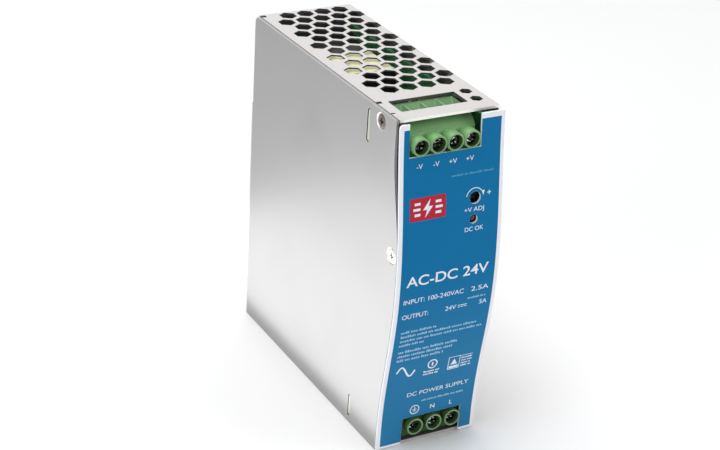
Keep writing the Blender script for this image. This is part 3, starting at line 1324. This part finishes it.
def make_coils():
    centre = (depth(30.0), 56.0)
    low, high = box("choke_core")
    radii = (5.3, 9.7)
    make_ring_core("choke_ring", ["choke_core"], centre, (low.x, high.x), radii, "ferrite", "ferrite")
    wire = 0.5
    for index, start in ((1, 28), (2, 208)):
        bm = solid(add_tube, coil_path(centre, (low.x, high.x), radii, wire + 0.15, 9, start, start + 124),
                wire, 10)
        node = f"choke_winding_{index}"
        piece(f"{node}_wire", bm, "copper", [node], "copper_wire")

    centre = (depth(29.0), 111.5)
    low, high = box("output_inductor")
    x = (low.x + 1.2, high.x - 1.2)
    radii = (4.2, 7.3)
    make_ring_core("inductor_ring", (), centre, x, radii, "core_paint", "coil_wrap")
    bm = solid(add_tube, coil_path(centre, x, radii, 0.57, 21, 20, 345), 0.5, 10)
    piece("inductor_wire", bm, "copper", ["output_inductor"], "copper_wire")


def comb_outline(low, high, plate_back, fins, thick):
    """Side outline of a plate with fins on its rear face, in Y and Z."""
    points = [(low.y, low.z), (low.y, high.z)]
    pitch = (high.z - low.z - thick) / (fins - 1)
    for index in reversed(range(fins)):
        base = low.z + pitch * index
        points += [(plate_back, base + thick), (high.y - 0.2, base + thick), (high.y, base + thick * 0.75),
                (high.y, base + thick * 0.25), (high.y - 0.2, base), (plate_back, base)]
    return points[:2] + points[3:-1]


def make_heatsinks():
    for node, fins in (("primary_heatsink", 7), ("secondary_heatsink", 6)):
        low, high = box(node)
        bm = solid(add_prism, "X", comb_outline(low, high, depth(90.0), fins, 1.0), low.x, high.x)
        piece(f"{node}_extrusion", bm, "anodised", [node], "heatsink_metal", 0.08)


def make_upright_packages():
    """A transistor and a rectifier, screwed to their heatsinks, legs bent across to the board."""
    for node in ("power_transistor", "output_rectifier"):
        low, high = box(node)
        mid = (low.x + high.x) / 2
        face = high.y - 1.3
        hole = solid(add_cylinder, "Y", (mid, high.z - 3), 1.8, high.y - 3, high.y + 1.0, 28)
        bm = solid(add_box, (low.x, high.x), (face, high.y), (low.z + 3, high.z))
        piece(f"{node}_tab", bm, "tin", (), "clamp_metal", 0.12, cuts=[hole])
        outline = [(high.y - 0.3, low.z), (high.y - 0.3, high.z - 6.4), (low.y + 0.4, high.z - 6.7),
                (low.y, high.z - 7.1), (low.y, low.z + 0.4), (low.y + 0.4, low.z)]
        bm = solid(add_prism, "X", outline, low.x + 0.05, high.x - 0.05)
        piece(f"{node}_body", bm, "package", [node], "black_package", 0.2)
        head = [(face - 1.6, 1.5), (face - 1.2, 2.4), (face - 0.4, 2.6), (face - 0.3, 3.0), (face, 3.0)]
        bm = solid(add_turned, "Y", (mid, high.z - 3), head, 32)
        piece(f"{node}_screw", bm, "screw", (), "screw_steel")
        y = high.y - 2.4
        ways = []
        for side in (-1, 0, 1):
            x, drop = mid + side * 2.54, low.z - (3.6 - 0.9 * side)
            ways.append([(x, y, low.z + 0.2), (x, y, drop + 0.5), (x + 0.5, y, drop), (BOARD_X, y, drop)])
        lead_pair(f"{node}_leads", ways, 0.38)


def make_flat_packages():
    """Moulded packages flat on the board, thickest in the middle, with a mark for pin 1."""
    for node, mat, slot, edge, legs_a_side in (
            ("bridge_rectifier", "package", "black_package", 0.2, 0),
            ("control_ic", "package", "black_package", 0.125, 4),
            ("optocoupler", "pale_plastic", "white_package", 0.125, 2)):
        low, high = box(node)
        loops = []
        for x, inset in ((low.x, 0.25), ((low.x + high.x) / 2, 0.0), (high.x - 0.6, 0.25)):
            y_ends, z_ends = (low.y + inset, high.y - inset), (low.z + inset, high.z - inset)
            loops.append([Vector((x, a, b)) for a, b in rounded_outline(y_ends, z_ends, 0.3, 3)])
        mark = solid(add_cylinder, "X", (low.y + 1.4, high.z - 1.4), 0.5, low.x - 1.0, low.x + 0.15, 20)
        piece(f"{node}_body", solid(add_loft, loops), mat, [node], slot, edge, cuts=[mark])
        legs = bmesh.new()
        for index in range(legs_a_side):
            y = low.y + (high.y - low.y) * (index + 0.5) / legs_a_side
            for z in (low.z + 0.2, high.z - 0.2):
                add_box(legs, (high.x - 1.8, BOARD_X), (y - 0.3, y + 0.3), (z - 0.15, z + 0.15))
        if legs_a_side:
            piece(f"{node}_legs", legs, "tin", (), "clamp_metal")


def make_fuse():
    low, high = box("fuse")
    centre = ((low.x + high.x) / 2, (low.z + high.z) / 2)
    bm = solid(add_turned, "Y", centre, [(low.y + 1.5, 2.3), (high.y - 1.5, 2.3)], 32)
    piece("fuse_tube", bm, "ceramic", ["fuse"], "fuse_ceramic")
    caps = bmesh.new()
    for end, inwards in ((low.y, 1), (high.y, -1)):
        profile = [(0.0, 2.2), (0.25, 2.55), (0.5, 2.6), (3.8, 2.6), (4.0, 2.45)]
        add_turned(caps, "Y", centre, [(end + inwards * a, r) for a, r in profile], 32)
    piece("fuse_caps", caps, "nickel", (), "clamp_metal")


# ---------------------------------------------------------------- rail clip
RAIL_Z = 67.8
RAIL_HALF = 18.0
PLATE = (107.15 + GAP, 107.15 + GAP + SHEET)
SEAT_DEPTH = PLATE[1] + 1.5
LIP_FRONT = SEAT_DEPTH + 1.3
HOOK_X = (5.0, 11.8)
GUIDE_X = (12.3, 13.9)
HOOK_THICK = 3.0


def hook_outline(root_y, lip_y, back_y, inner_z, thick, lip, upwards):
    """Side outline of a hook: a shelf from the plate with a lip, rounded where the sheet bends."""
    s = 1 if upwards else -1
    outer = inner_z + s * thick
    tip = inner_z - s * lip
    round_off = 0.9
    bend = [(back_y - round_off + round_off * math.cos(a),
            outer - s * round_off + s * round_off * math.sin(a))
            for a in (math.pi / 2 * i / 6 for i in range(6, -1, -1))]
    return [(root_y, inner_z), (root_y, outer)] + bend + [(back_y, tip + s * 0.3), (back_y - 0.3, tip),
            (lip_y + 0.5, tip), (lip_y, tip + s * 0.7), (lip_y, inner_z)]


def make_bracket():
    low, high = box("rail_bracket")
    bm = solid(add_prism, "Y", rounded_outline((low.x, high.x), (low.z, high.z), 0.8, 4), depth(PLATE[0]),
            depth(PLATE[1]))
    bracket = raw("rail_bracket_plate", bm)
    guides, hooks, stop, sinks = (bmesh.new() for _ in range(4))
    top = RAIL_Z + RAIL_HALF
    for side in (-1, 1):
        guide_x = sorted(side * edge for edge in GUIDE_X)
        add_prism(guides, "Y", rounded_outline(guide_x, (40.0, 89.6), 0.6, 4), depth(PLATE[1] - SHEET / 2),
                depth(SEAT_DEPTH))
        outline = hook_outline(depth(PLATE[1] - 0.4), depth(LIP_FRONT), high.y, top, HOOK_THICK, 2.8, True)
        add_prism(hooks, "X", outline, *sorted(side * edge for edge in HOOK_X))
    add_prism(stop, "X", [(depth(PLATE[1] - SHEET / 2), 22.2), (depth(PLATE[1] - SHEET / 2), 23.6),
            (high.y - 0.6, 23.6), (high.y - 0.3, 23.3), (high.y - 0.3, 22.5), (high.y - 0.6, 22.2)], -2.2,
            2.2)
    extend(bracket, guides, hooks, stop)
    for x, z in BRACKET_SCREWS.values():
        profile = [(depth(PLATE[0]) - 1.0, 2.1), (depth(PLATE[0]), 2.1), (depth(PLATE[1]), 3.0),
                (depth(PLATE[1]) + 1.0, 4.0)]
        add_turned(sinks, "Y", (x, z), profile, 36)
    cut(bracket, sinks)
    finish_piece(bracket, "clip", ["rail_bracket"], "clip_steel", 0.18, 3)


def make_latch():
    """Sliding plate, its lip under the rail and its tail with an eye for a screwdriver."""
    low, high = box("rail_latch")
    foot = RAIL_Z - RAIL_HALF
    half = high.x
    plate = (low.y, depth(SEAT_DEPTH) - GAP)
    left = [(-half, high.z - 0.6), (-half, 44.4), (-half + 0.5, 43.6), (-6.4, 40.3), (-6.0, 39.6),
            (-6.0, low.z + 3.0), (-5.4, low.z + 1.4), (-4.4, low.z + 0.4), (-3.2, low.z)]
    outline = [(-half + 0.6, high.z)] + left + [(-x, z) for x, z in reversed(left)] + [(half - 0.6, high.z)]
    latch = raw("rail_latch_plate", solid(add_prism, "Y", outline, *plate))
    hook, window = bmesh.new(), bmesh.new()
    add_prism(hook, "X", hook_outline(plate[0] + 0.1, depth(LIP_FRONT), high.y, foot, HOOK_THICK, 2.5,
            False), -half + 0.1, half - 0.1)
    extend(latch, hook)
    add_prism(window, "Y", rounded_outline((-2.8, 2.8), (17.0, foot - 3.2), 0.7, 4), plate[0] - 1.0,
            high.y + 1.0)
    eye = solid(add_prism, "Y", rounded_outline((-2.5, 2.5), (10.5, 13.5), 1.4, 6), plate[0] - 1.0,
            plate[1] + 1.0)
    cut(latch, window, eye)
    finish_piece(latch, "clip", ["rail_latch"], "clip_steel", 0.15, 3, body="rail_latch")


def make_spring():
    """Compression spring with closed ends; it shortens as the latch is pulled down."""
    low, high = box("latch_spring")
    wire = 0.3
    radius = (high.x - low.x) / 2 - wire
    middle = (low.y + high.y) / 2
    turns, steps = 9, 24
    bottom, top = low.z + wire, high.z - wire
    points = []
    for i in range(turns * steps + 1):
        share = i / (turns * steps)
        rise = 0.06 * min(1.0, share * turns) + 0.88 * min(1.0, max(0.0, (share * turns - 1) / (turns - 2)))
        rise += 0.06 * max(0.0, share * turns - turns + 1)
        angle = 2 * math.pi * i / steps
        points.append(Vector((radius * math.cos(angle), middle + radius * math.sin(angle),
                bottom + (top - bottom) * rise)))
    bm = solid(add_tube, points, wire, 10)
    spring = piece("latch_spring_coil", bm, "spring", ["latch_spring"], "clip_steel")
    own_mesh(spring)


def dress(mat, *nodes):
    """Give CAD nodes that are shown as they are their finished material."""
    for name in nodes:
        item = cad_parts[name]
        item.data.materials.clear()
        item.data.materials.append(MATERIALS[mat])
        add_bevel(item, 0.06, angle=30)


def dress_cad():
    dress("nickel", "negative_contact", "positive_contact", *(f"input_contact_{i}" for i in (1, 2, 3)))
    dress("film", "insulation_sheet")


make_chassis()
make_cover()
make_front()
make_print()
make_terminals()
make_case_screws()
make_adjuster()
make_status_light()
make_boards()
make_can("bulk_capacitor", (depth(56.0), 30.0), 12.5)
for number, can_z in enumerate((96.0, 85.0, 74.0), 1):
    make_can(f"output_capacitor_{number}", (depth(28.0), can_z), 5.0)
make_film_capacitors()
make_transformer()
make_coils()
make_heatsinks()
make_upright_packages()
make_flat_packages()
make_fuse()
make_bracket()
make_latch()
make_spring()
dress_cad()


# ---------------------------------------------------------------- floor, light, camera
def make_stage():
    floor = raw("floor", solid(add_box, (-3000.0, 3000.0), (-3000.0, 3000.0), (-20.0, -0.1)))
    color = (0.91, 0.91, 0.91)
    mat, tree, shader = start_material("pale_floor", color, 0.6)
    tint(tree, shader, noise(tree, 3.0, 2.0), scaled(color, 0.985), color)
    floor.data.materials.append(mat)


def area_light(name, place, target, size, power):
    data = bpy.data.lights.new(name, "AREA")
    data.shape = "RECTANGLE"
    data.size, data.size_y = size
    data.energy = power
    item = bpy.data.objects.new(name, data)
    item.location = place
    item.rotation_euler = (Vector(target) - Vector(place)).to_track_quat("-Z", "Y").to_euler()
    item.visible_camera = False
    bpy.context.scene.collection.objects.link(item)


def make_light():
    world = bpy.data.worlds.new("studio")
    world.use_nodes = True
    world.node_tree.nodes["Background"].inputs["Color"].default_value = (0.97, 0.98, 1.0, 1.0)
    world.node_tree.nodes["Background"].inputs["Strength"].default_value = 0.42
    bpy.context.scene.world = world
    middle = (0.0, 0.0, 0.05)
    area_light("top", (-0.25, 0.1, 1.2), (0.0, 0.0, 0.0), (0.6, 0.6), 9.0)
    area_light("back", (0.75, 1.30, 0.85), middle, (2.0, 1.4), 7.5)
    area_light("right", (1.0, -0.75, 0.35), middle, (0.7, 0.5), 5.0)
    area_light("left", (-0.75, -0.25, 0.45), (-0.08, 0.0, 0.0), (0.4, 0.3), 1.2)
    area_light("bounce", (-0.095, 0.045, 0.0015), (-0.095, 0.045, 1.0), (0.14, 0.19), 0.105)


def make_camera():
    azimuth, elevation, roll = (math.radians(a) for a in (-30.0, 26.32, 3.67))
    back = Vector((math.sin(azimuth) * math.cos(elevation), -math.cos(azimuth) * math.cos(elevation),
            math.sin(elevation)))
    level = (-back).cross(Vector((0.0, 0.0, 1.0))).normalized()
    upright = level.cross(-back)
    right = level * math.cos(roll) + upright * math.sin(roll)
    up = upright * math.cos(roll) - level * math.sin(roll)
    data = bpy.data.cameras.new("camera")
    data.sensor_width = 36.0
    data.lens = 85.18
    data.clip_start = 0.01
    camera = bpy.data.objects.new("camera", data)
    turn = Matrix((right, up, back)).transposed().to_4x4()
    camera.matrix_world = Matrix.Translation((-0.2804, -0.48375, 0.33677)) @ turn
    bpy.context.scene.collection.objects.link(camera)
    bpy.context.scene.camera = camera
    bpy.context.scene.view_settings.view_transform = "Standard"


make_stage()
make_light()
make_camera()
